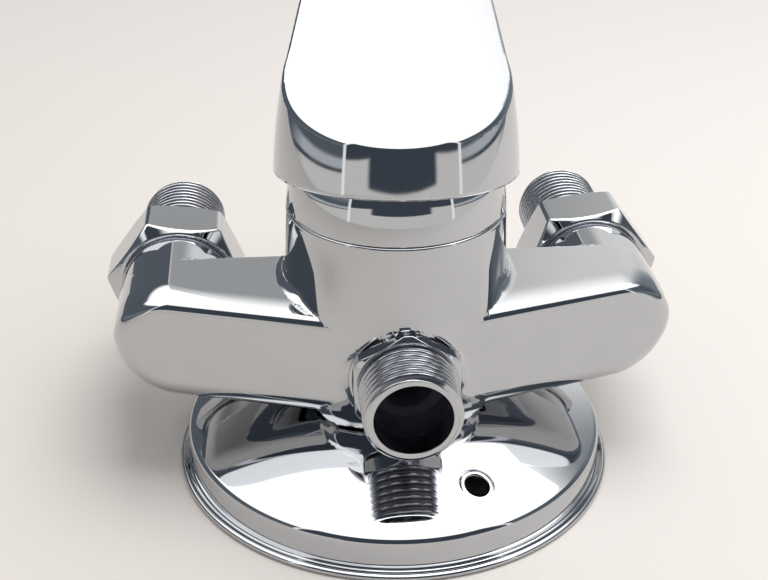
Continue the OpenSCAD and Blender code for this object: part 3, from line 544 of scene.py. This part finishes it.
def hexagon_radius(angle, across_flats, first_flat):
    """Radius of a hexagon: half its width over the cosine of the angle from the nearest flat."""
    off = (angle - first_flat + math.pi / 6) % (math.pi / 3) - math.pi / 6
    return across_flats / 2 / np.cos(off)


def thread_cut(along, angle, start, end):
    """Depth cut by the thread: a rounded wave whose phase grows by one turn in each pitch. It
    fades in and out at its ends."""
    wave = 0.5 + 0.5 * np.cos(2 * math.pi * (along / PITCH + angle / (2 * math.pi)))
    fade = np.clip(np.minimum(along - start, end - along) / THREAD_FADE, 0, 1)
    return THREAD_DEPTH * fade * (1 - np.clip(1.3 * wave - 0.1, 0, 1))


def nipple_bare_and_shade(x, y, z):
    """Bare metal and painted shade on the nipple: a little on the thread, more in its grooves, all in the
    bore, where the dark colour stands for shade.
    """
    rho = np.hypot(x, z - AXIS_Z)
    on_thread = (-y > HEX_FRONT) * (-y < MOUTH - 1) * (0.2 + 0.6 * ramp(rho, PIPE_R - 0.2, PIPE_R - 0.9))
    in_bore = ramp(rho, HOSE_BORE + 0.1, HOSE_BORE) * ramp(-y, MOUTH - 0.2, MOUTH - 0.9)
    return np.where(rho > OUTSIDE - 0.4, on_thread, in_bore)


nipple_section = outline([
    (SHANK_START, SHANK_BORE), (SHANK_START, SHANK_R, 0.4), (HEX_BACK, SHANK_R),
    (HEX_BACK, HEX_TURNED_R, 0.15, 0.2), (HEX_EDGE, HEX_TURNED_R, 0.1, 0.12),
    (HEX_FRONT, HEX_FACE_R, 0.15, 0.15), (HEX_FRONT, PIPE_R, 0.1, 0.1), (MOUTH - 0.8, PIPE_R, 0.3, 0.1),
    (MOUTH, PIPE_R - 0.95, 0.25), (MOUTH, HOSE_BORE, 0.2), (HOSE_BORE_START, HOSE_BORE),
    (HOSE_BORE_START, SHANK_BORE)])
angle = full_turn(240)
along, radius = all_round(nipple_section, len(angle))
in_hexagon = (along > HEX_BACK - 0.01) & (along < HEX_FRONT + 0.01) & (radius > PIPE_R)
radius = np.where(in_hexagon, np.minimum(radius, hexagon_radius(angle, HEX_AF, 0)), radius)
in_thread = (along > HEX_FRONT) & (radius > OUTSIDE)
radius = radius - in_thread * thread_cut(along, angle, HEX_FRONT - 0.3, MOUTH + 0.2)
nipple = turned("outlet_nipple_turned", along, radius, (0, 0, AXIS_Z), (0, -1, 0))
mark_bare_and_shade(nipple, nipple_bare_and_shade)
dress(nipple, CHROME, "base", "outlet_nipple")

# Washer behind the nipple and the two union washers: flat rings punched from pressed vegetable
# fibre, dark and matt, each squeezed tight between two turned faces.
FIBRE = surface("pressed_fibre", "#2c2a28", 0.0, (0.65, 0.85), 0.4, bump_mm=0.03)
refinish(FIBRE, "outlet_washer", "left_inlet_washer", "right_inlet_washer")

# Union tails and boss threads: each tail is a turned brass connector with a collar that the nut
# pulls against the boss, and a long half inch thread that shows as fine lines behind the nut. The
# boss itself carries a short three quarter inch thread under the nut.
TAIL_START, COLLAR_END, TAIL_END = 28.6, 31.5, 60.6
TAIL_BORE, COLLAR_R, NECK_R, THREAD_START = 7.5, 12.7, 10.28, 36.6
BOSS_THREAD_R, BOSS_THREAD_START, BOSS_THREAD_END = 13.22, 18.6, 26.5


def tail_bare_and_shade(x, y, z):
    """Bare metal and painted shade on a tail: less than half on the thread, all in the bore, where the dark
    colour stands for shade.
    """
    rho = np.hypot(np.abs(x) - INLET_X, z - AXIS_Z)
    in_bore = ramp(rho, TAIL_BORE + 0.15, TAIL_BORE + 0.05) * ramp(y, TAIL_END - 0.2, TAIL_END - 1.2)
    on_thread = 0.4 * ramp(y, THREAD_START - 1.1, THREAD_START - 0.1)
    return np.where(rho > OUTSIDE - 0.4, on_thread, in_bore)


angle = full_turn(160)
for side, word in ((-1, "left"), (1, "right")):
    tail_section = outline([
        (TAIL_START, TAIL_BORE, 0.2), (TAIL_START, COLLAR_R, 0.3), (COLLAR_END, COLLAR_R, 0.3),
        (COLLAR_END, NECK_R), (THREAD_START, NECK_R, 0.0, 0.16), (TAIL_END - 0.6, PIPE_R, 0.3, 0.16),
        (TAIL_END, PIPE_R - 0.7, 0.2), (TAIL_END, TAIL_BORE, 0.2)])
    along, radius = all_round(tail_section, len(angle))
    in_thread = (along > THREAD_START - 0.6) & (radius > OUTSIDE)
    cut = thread_cut(along, angle, THREAD_START, TAIL_END + 0.2)
    radius = radius - 0.8 * in_thread * cut
    tail = turned(word + "_union_tail_turned", along, radius, (side * INLET_X, 0, AXIS_Z), (0, 1, 0))
    mark_bare_and_shade(tail, tail_bare_and_shade)
    dress(tail, CHROME, "base", word + "_union_tail")

    thread_section = outline([
        (BOSS_THREAD_START, 11.5), (BOSS_THREAD_START, BOSS_THREAD_R, 0.1, 0.16),
        (BOSS_THREAD_END - 0.5, BOSS_THREAD_R, 0.2, 0.16), (BOSS_THREAD_END, BOSS_THREAD_R - 0.5, 0.1),
        (BOSS_THREAD_END, 11.5)])
    along, radius = all_round(thread_section, len(angle))
    cut = thread_cut(along, angle, BOSS_THREAD_START, BOSS_THREAD_END + 0.1)
    radius = radius - (radius > 12.3) * cut
    thread = turned(word + "_boss_thread", along, radius, (side * INLET_X, 0, AXIS_Z), (0, 1, 0))
    # Painted shade: the boss thread in the gap under the nut takes the dark bare colour nearly all over.
    mark_bare_and_shade(thread, lambda x, y, z: 0.85 + 0 * x)
    dress(thread, CHROME, "base")

# Union nuts: hexagon nuts forged and turned from brass and chromed. Their corners are turned off
# to a cone at both ends, a longer one towards the arm, which leaves the curved edges that catch
# the light. Each is tightened to an angle of its own.
NUT_AF, NUT_START, NUT_END = 30.0, 20.3, 34.1
NUT_CORNER_R = NUT_AF / math.sqrt(3)
FRONT_R, FRONT_CONE = 14.3, math.radians(40.5)
BACK_R, BACK_CONE = 15.45, math.radians(30)
THREAD_BORE, TAIL_HOLE, FLANGE_START = 13.27, 10.68, 31.6
NUT_TURNS = {"left": -7.0, "right": 7.5}


def soft_least(a, b, width):
    """The lesser of two values, rounded where they cross within a width."""
    h = np.clip(0.5 + 0.5 * (b - a) / width, 0, 1)
    return b * (1 - h) + a * h - width * h * (1 - h)


front_cone_end = NUT_START + (NUT_CORNER_R - FRONT_R) * math.tan(FRONT_CONE)
back_cone_start = NUT_END - (NUT_CORNER_R - BACK_R) * math.tan(BACK_CONE)
angle = full_turn(288)
for side, word in ((-1, "left"), (1, "right")):
    nut_section = outline([
        (NUT_START, THREAD_BORE, 0.1), (NUT_START, FRONT_R, 0.25, 0.12),
        (front_cone_end, NUT_CORNER_R, 0.1, 0.5), (back_cone_start, NUT_CORNER_R, 0.1, 0.12),
        (NUT_END, BACK_R, 0.2, 0.4), (NUT_END, TAIL_HOLE, 0.3), (FLANGE_START, TAIL_HOLE),
        (FLANGE_START, THREAD_BORE)])
    along, radius = all_round(nut_section, len(angle))
    flats = hexagon_radius(-angle, NUT_AF, math.radians(NUT_TURNS[word] + 30))
    flats = soft_least(flats, NUT_CORNER_R - 0.1, 0.25)
    radius = np.where(radius > FRONT_R + 0.1, soft_least(radius, flats, 0.4), radius)
    nut = turned(word + "_union_nut_turned", along, radius, (side * INLET_X, 0, AXIS_Z), (0, 1, 0))
    dress(nut, CHROME, word + "_nut", word + "_union_nut")

# Cartridge: ceramic disc valve. Base and housing are moulded white nylon, the turret red acetal
# and the carrier grey plastic, all with the half matt skin of their moulds. The seals are rubber,
# and the two discs are lapped alumina, which shines.
NYLON = surface("moulded_white_nylon", "#e2e1d9", 0.0, (0.38, 0.52), 0.8, bump_mm=0.01, edge_mm=0.2)
ACETAL = surface("moulded_red_acetal", "#a43529", 0.0, (0.32, 0.46), 0.8, bump_mm=0.01, edge_mm=0.2)
GREY_PLASTIC = surface("moulded_grey_plastic", "#8d9095", 0.0, (0.35, 0.48), 0.8, bump_mm=0.01, edge_mm=0.2)
ALUMINA = surface("lapped_alumina", "#efe9dc", 0.0, (0.1, 0.17), 1.5, coat=0.4)
refinish(NYLON, "cartridge_base", "cartridge_housing")
refinish(RUBBER, "port_seals")
refinish(ALUMINA, "fixed_disc", "moving_disc")
refinish(GREY_PLASTIC, "disc_carrier")
refinish(ACETAL, "turret")

# Spindle, its cross pin and the grub screw: free machining stainless steel, milled and turned, so
# it is satin with fine tool marks. The clamp ring over the cartridge is turned brass.
STEEL = surface("machined_stainless_steel", "#b4b6b9", 1.0, (0.2, 0.32), 0.8, bump_mm=0.01, edge_mm=0.15)
refinish(STEEL, "spindle", "spindle_pin", "handle_screw")
refinish(BRASS, "clamp_ring")

# Bonnet: the domed chrome ring between barrel and handle. It is turned, drops over the clamp ring
# and sits on the barrel's rim, where its softened edge makes the fine dark joint line.
BONNET_R, BONNET_BORE, BONNET_SEAT = 24.12, 20.6, JOINT_Z + 0.06
BONNET_TOP, MOUTH_R, MOUTH_BORE = 77.0, 21.4, 16.8
DOME_END, DOME_LEAN, DOME_CURVE = 74.6, 0.06, 0.0111
MOUTH_CURVE, MOUTH_CURVE_UP = 0.013, 6.5


def dome_radius(up):
    """The dome narrows with the square of the height over its seat, and more near its mouth."""
    radius = BONNET_R - DOME_LEAN * up - DOME_CURVE * up ** 2
    return radius - MOUTH_CURVE * np.maximum(up - MOUTH_CURVE_UP, 0) ** 2


height = np.linspace(BONNET_SEAT, DOME_END, 50)
dome = list(zip(height, dome_radius(height - BONNET_SEAT)))[3:]
bonnet_section = outline(
    [(BONNET_SEAT, BONNET_R, 0.6)] + dome
    + [(BONNET_TOP, MOUTH_R, 1.8), (BONNET_TOP, MOUTH_BORE, 0.3), (BONNET_TOP - 1, MOUTH_BORE),
       (BONNET_TOP - 6, BONNET_BORE), (BONNET_SEAT, BONNET_BORE)], arc_steps=9)
along, radius = all_round(bonnet_section, 256)
bonnet = turned("bonnet_dome", along, radius, (0, 0, 0), (0, 0, 1))
dress(bonnet, CHROME, "base", "bonnet")

# Handle: cap and lever in one zinc casting, buffed and chromed. The skirt swells slightly, the
# crowned top face meets it in a fine rounded edge, and the lever thins towards its tip. A grub
# screw under a plastic plug at the back holds it on the spindle, so it leans with it.
PIN_Z, REST_TURN, CLOSED_LEAN = 62.0, math.radians(5.0), math.radians(9.0)
SKIRT_R, CAP_R, RIM_UP, CONE_UP = 26.78, 24.98, 9.2, 30.0
SWELL_LEAN, SWELL_CURVE = 0.035, 0.0038
TOP_Z, TOP_RISE, CROWN_R = 94.1, math.radians(19.5), 120.0
LEVER_REACH, TIP_HALF, TIP_T, ROOT_EXTRA = 78.0, 17.0, 6.0, 6.5
LEVER_START, TIP_CORNER = 3.48, 7.0
SKIRT_WALL, TOP_WALL, HOLLOW_TOP = 1.5, 2.2, 25.28
HUB_OUTER_R, HUB_LOW = 9, 13.5
SQUARE_HALF, SQUARE_TOP = 4.1, 24.1
SCREW_UP, SCREW_R, PLUG_R, PLUG_START = 17.6, 2.55, 3.25, 10
RIM_EDGE, TOP_EDGE, LEVER_EDGE = 0.9, 0.9, 1.2
HANDLE_CELL = 0.5


def lever_plan(x, y):
    """Distance in plan: the cap's circle, then the straight line that touches it and the tip's
    corner circle, closed by the tip's straight end."""
    radius = CAP_R - 0.8
    reach = np.array([TIP_HALF - TIP_CORNER, LEVER_REACH - TIP_CORNER - LEVER_START])
    length = np.linalg.norm(reach)
    tilt = math.asin((radius - TIP_CORNER) / length)
    along = reach / length
    normal = np.array([along[1], -along[0]]) * math.cos(tilt) + along * math.sin(tilt)
    qx, qy = np.abs(x), y - LEVER_START
    on_line = qy * normal[0] - qx * normal[1] > 0
    edge = np.where(on_line, qx * normal[0] + qy * normal[1], np.hypot(qx, qy)) - radius
    return round_max(edge, y - LEVER_REACH, TIP_CORNER)


def handle_casting(x, y, z):
    """Distance from the handle: the skirt, a cone about the leaning spindle that swells with the
    square of the height, joined to the lever's plan, cut by the crowned top face and hollowed
    from below round a hub with the square for the spindle, the screw's bore and the plug's."""
    lx = x * math.cos(REST_TURN) - y * math.sin(REST_TURN)
    ly = x * math.sin(REST_TURN) + y * math.cos(REST_TURN)
    sy = ly * math.cos(CLOSED_LEAN) - (z - PIN_Z) * math.sin(CLOSED_LEAN)
    up = ly * math.sin(CLOSED_LEAN) + (z - PIN_Z) * math.cos(CLOSED_LEAN)
    rho = np.hypot(lx, sy)
    swelling = rho - SKIRT_R + SWELL_LEAN * (up - RIM_UP) + SWELL_CURVE * (up - RIM_UP) ** 2
    skirt = round_max(swelling, RIM_UP - up, RIM_EDGE)
    ty = ly * math.cos(TOP_RISE) + (z - TOP_Z) * math.sin(TOP_RISE)
    tw = -ly * math.sin(TOP_RISE) + (z - TOP_Z) * math.cos(TOP_RISE)
    top = np.hypot(lx, tw + CROWN_R) - CROWN_R
    taper = math.atan(ROOT_EXTRA / (LEVER_REACH - CAP_R))
    under = (ty - CAP_R) * math.sin(taper) - (tw + TIP_T + ROOT_EXTRA) * math.cos(taper)
    lever = np.maximum(round_max(lever_plan(lx, ly), under, LEVER_EDGE), -ly)
    solid = round_min(skirt, lever, 0.3 + 2.7 * ramp(ly, 16, 24))
    solid = round_max(solid, top, TOP_EDGE)
    cone = rho - SKIRT_R + (SKIRT_R - CAP_R) / (CONE_UP - RIM_UP) * (up - RIM_UP)
    hollow = np.maximum(np.maximum(cone + SKIRT_WALL, top + TOP_WALL), up - HOLLOW_TOP)
    hollow = np.maximum(hollow, -np.maximum(rho - HUB_OUTER_R, HUB_LOW - up))
    square = np.maximum(np.maximum(np.abs(lx), np.abs(sy)) - SQUARE_HALF, up - SQUARE_TOP)
    screw = np.maximum(np.hypot(lx, up - SCREW_UP) - SCREW_R, -sy)
    plug = np.maximum(np.hypot(lx, up - SCREW_UP) - PLUG_R, PLUG_START - sy)
    return round_max(solid, -np.minimum.reduce([hollow, square, screw, plug]), BORE_EDGE)


handle = skin("handle_casting", handle_casting, (-29, -27, 65), (32, 80, 125), HANDLE_CELL)
dress(handle, CHROME, "lever", "handle")
refinish(GREY_PLASTIC, "handle_plug")

# Camera: its focal length in pixels, its place, and its turns in radians were fitted to the
# photograph, which is 768 by 580 pixels.
FOCAL_PX, IMAGE_W, SENSOR_MM = 1348.35, 768, 36.0
CAMERA_AT = (-27.446, -267.912, 187.171)
YAW, DOWN, ROLL = 0.0929, 0.4941, 0.0074
lens = bpy.data.cameras.new("camera")
lens.sensor_fit = "HORIZONTAL"
lens.sensor_width = SENSOR_MM
lens.lens = FOCAL_PX / IMAGE_W * SENSOR_MM
lens.clip_start, lens.clip_end = 0.01, 20
camera = bpy.data.objects.new("camera", lens)
bpy.context.scene.collection.objects.link(camera)
forward = Vector((math.sin(YAW) * math.cos(DOWN), math.cos(YAW) * math.cos(DOWN), -math.sin(DOWN)))
level = Vector((math.cos(YAW), -math.sin(YAW), 0))
above = level.cross(forward)
across = level * math.cos(ROLL) + above * math.sin(ROLL)
upward = above * math.cos(ROLL) - level * math.sin(ROLL)
place = Matrix((across, upward, -forward)).transposed().to_4x4()
place.translation = Vector(CAMERA_AT) * MM
camera.matrix_world = place
bpy.context.scene.camera = camera

# Floor: a pale matt paper sheet. Its colour carries painted light: a little brighter near at hand
# on the right, under the soft box, and a little greyer far away. In reflections it ends half a
# metre from the plate's middle, where the room begins. The lengths from here on are metres.
PAPER_REACH = 0.5
floor_mesh = bpy.data.meshes.new("paper_floor")
floor_mesh.from_pydata([(-4, -4, 0), (4, -4, 0), (4, 6, 0), (-4, 6, 0)], [], [(0, 1, 2, 3)])
floor = bpy.data.objects.new("paper_floor", floor_mesh)
bpy.context.scene.collection.objects.link(floor)
paper = bpy.data.materials.new("matt_paper")
paper.use_nodes = True
tree = paper.node_tree
shader = tree.nodes["Principled BSDF"]
shader.inputs["Roughness"].default_value = 0.7
shader.inputs["Specular IOR Level"].default_value = 0.1
ground = add(tree, "TexCoord").outputs["Object"]
spot = add(tree, "SeparateXYZ", {0: ground}).outputs
# Painted light: the paper's colour is a little brighter to the right, towards the soft box, and greyer far
# away.
rightward = add(tree, "MapRange", {"Value": spot[0], "From Min": -0.22, "From Max": 0.14},
                interpolation_type="SMOOTHSTEP").outputs["Result"]
distant = add(tree, "MapRange", {"Value": spot[1], "From Min": 0.08, "From Max": 0.4},
              interpolation_type="SMOOTHSTEP").outputs["Result"]
near = add(tree, "Mix", {"Factor": rightward, "A": linear("#f1ebe4"), "B": linear("#f4efea")},
           data_type="RGBA").outputs["Result"]
far = add(tree, "Mix", {"Factor": rightward, "A": linear("#eeeae5"), "B": linear("#ece8e4")},
          data_type="RGBA").outputs["Result"]
painted_light_tint = add(tree, "Mix", {"Factor": distant, "A": near, "B": far}, data_type="RGBA").outputs["Result"]
tree.links.new(painted_light_tint, shader.inputs["Base Color"])
away = add(tree, "VectorMath", {0: ground}, operation="LENGTH").outputs["Value"]
beyond = add(tree, "Math", {0: away, 1: PAPER_REACH}, operation="GREATER_THAN").outputs[0]
in_mirror = add(tree, "LightPath").outputs["Is Glossy Ray"]
beyond = add(tree, "Math", {0: beyond, 1: in_mirror}, operation="MULTIPLY").outputs[0]
clear = add(tree, "BsdfTransparent").outputs[0]
ends = add(tree, "MixShader", {0: beyond, 1: shader.outputs[0], 2: clear}).outputs[0]
tree.links.new(ends, tree.nodes["Material Output"].inputs["Surface"])
floor_mesh.materials.append(paper)

# Studio light: one large soft box, overhead and a little to the right. The room adds pale even
# light from all sides.
box_light = bpy.data.lights.new("soft_box", "AREA")
box_light.shape = "RECTANGLE"
box_light.size, box_light.size_y = 0.9, 0.7
box_light.energy = 6.7
soft_box = bpy.data.objects.new("soft_box", box_light)
soft_box.location = (0.34, 0.1, 0.9)
bpy.context.scene.collection.objects.link(soft_box)

# Room: what the chrome reflects, set up as for photographing metal. In front it is dark over a
# pale horizon. Grey flags with pale and dark bands hang to both sides, a narrow bright gap before
# them, the wall behind is pale, and the soft box hangs above all of it.
world = bpy.data.worlds.new("studio_room")
bpy.context.scene.world = world
world.use_nodes = True
tree = world.node_tree
tree.nodes.clear()
DEGREES = 180 / math.pi
way = add(tree, "SeparateXYZ", {0: add(tree, "TexCoord").outputs["Generated"]}).outputs
elevation = add(tree, "Math", {0: way[2]}, operation="ARCSINE").outputs[0]
elevation = add(tree, "Math", {0: elevation, 1: DEGREES}, operation="MULTIPLY").outputs[0]
toward = add(tree, "Math", {0: way[1], 1: -1.0}, operation="MULTIPLY").outputs[0]
azimuth = add(tree, "Math", {0: way[0], 1: toward}, operation="ARCTAN2").outputs[0]
azimuth = add(tree, "Math", {0: azimuth, 1: DEGREES}, operation="MULTIPLY").outputs[0]
off_front = add(tree, "Math", {0: azimuth}, operation="ABSOLUTE").outputs[0]
DARK_ROOM, FLAG = linear("#4a515b"), linear("#666e77")
BACK_LEFT, BACK_RIGHT = linear("#bfc0c0"), [1.05, 1.04, 1.02, 1.0]
SPILL, SOFT_BOX = [1.3, 1.3, 1.3, 1.0], [2.2, 2.18, 2.14, 1.0]
HORIZON, BAND, GLIMMER = linear("#efebe7"), linear("#d0d4d9"), linear("#8c949c")
BACK_SIDE, EDGE_LINE = linear("#666d74"), linear("#e4e5e6")
BOX_LOW, BOX_HIGH, SAG = 48, 56, 0.15


def between(value, start, end, before, after):
    """Blends two colours with a smooth step of a value."""
    factor = add(tree, "MapRange", {"Value": value, "From Min": start, "From Max": end},
                 interpolation_type="SMOOTHSTEP").outputs["Result"]
    return add(tree, "Mix", {"Factor": factor, "A": before, "B": after}, data_type="RGBA").outputs["Result"]


# The front, from the horizon up, and the lobes at its sides, where the dark begins higher.
centre = between(elevation, -1.3, -0.3, HORIZON, DARK_ROOM)
centre = between(elevation, BOX_LOW, BOX_HIGH, centre, SOFT_BOX)
lowered = add(tree, "Math", {0: off_front, 1: SAG, 2: elevation}, operation="MULTIPLY_ADD").outputs[0]
lobes = between(lowered, 9.8, 10.6, HORIZON, DARK_ROOM)
lobes = between(elevation, BOX_LOW, BOX_HIGH, lobes, SOFT_BOX)
# The flags, from the horizon up: dark line, pale band, grey, glimmer, grey, soft box.
flags = between(lowered, 7.3, 7.6, HORIZON, DARK_ROOM)
flags = between(lowered, 8.0, 8.5, flags, BAND)
flags = between(lowered, 9.8, 10.8, flags, FLAG)
flags = between(lowered, 12.5, 17, flags, GLIMMER)
flags = between(lowered, 17, 22, flags, FLAG)
flags = between(elevation, 31, 38, flags, SOFT_BOX)
# The wall behind, from left to right: its grey side, a fine bright edge, pale, white, glimmer.
back = between(way[0], 0.05, 0.26, BACK_LEFT, BACK_RIGHT)
back = between(way[0], 0.45, 0.7, back, GLIMMER)
back = between(way[0], -0.09, -0.085, EDGE_LINE, back)
back = between(elevation, 34, 60, back, SOFT_BOX)
grey_side = between(way[0], -0.75, -0.6, FLAG, BACK_SIDE)
grey_side = between(elevation, 30, 37, grey_side, SOFT_BOX)
back = between(way[0], -0.115, -0.11, grey_side, back)
# All of them joined, by the angle to either side of the front.
room = between(off_front, 28, 33, centre, lobes)
room = between(off_front, 52, 53, room, SPILL)
room = between(off_front, 54.5, 56, room, flags)
room = between(off_front, 95, 125, room, back)
mirrored = add(tree, "Background", {"Color": room}).outputs[0]
lit = add(tree, "Background", {"Color": linear("#f4f3f3"), "Strength": 0.5}).outputs[0]
seen = add(tree, "Background", {"Color": linear("#f2ece7")}).outputs[0]
ray = add(tree, "LightPath").outputs
blend = add(tree, "MixShader", {0: ray["Is Glossy Ray"], 1: lit, 2: mirrored}).outputs[0]
blend = add(tree, "MixShader", {0: ray["Is Camera Ray"], 1: blend, 2: seen}).outputs[0]
add(tree, "OutputWorld", {0: blend})

bpy.context.scene.view_settings.view_transform = "Standard"
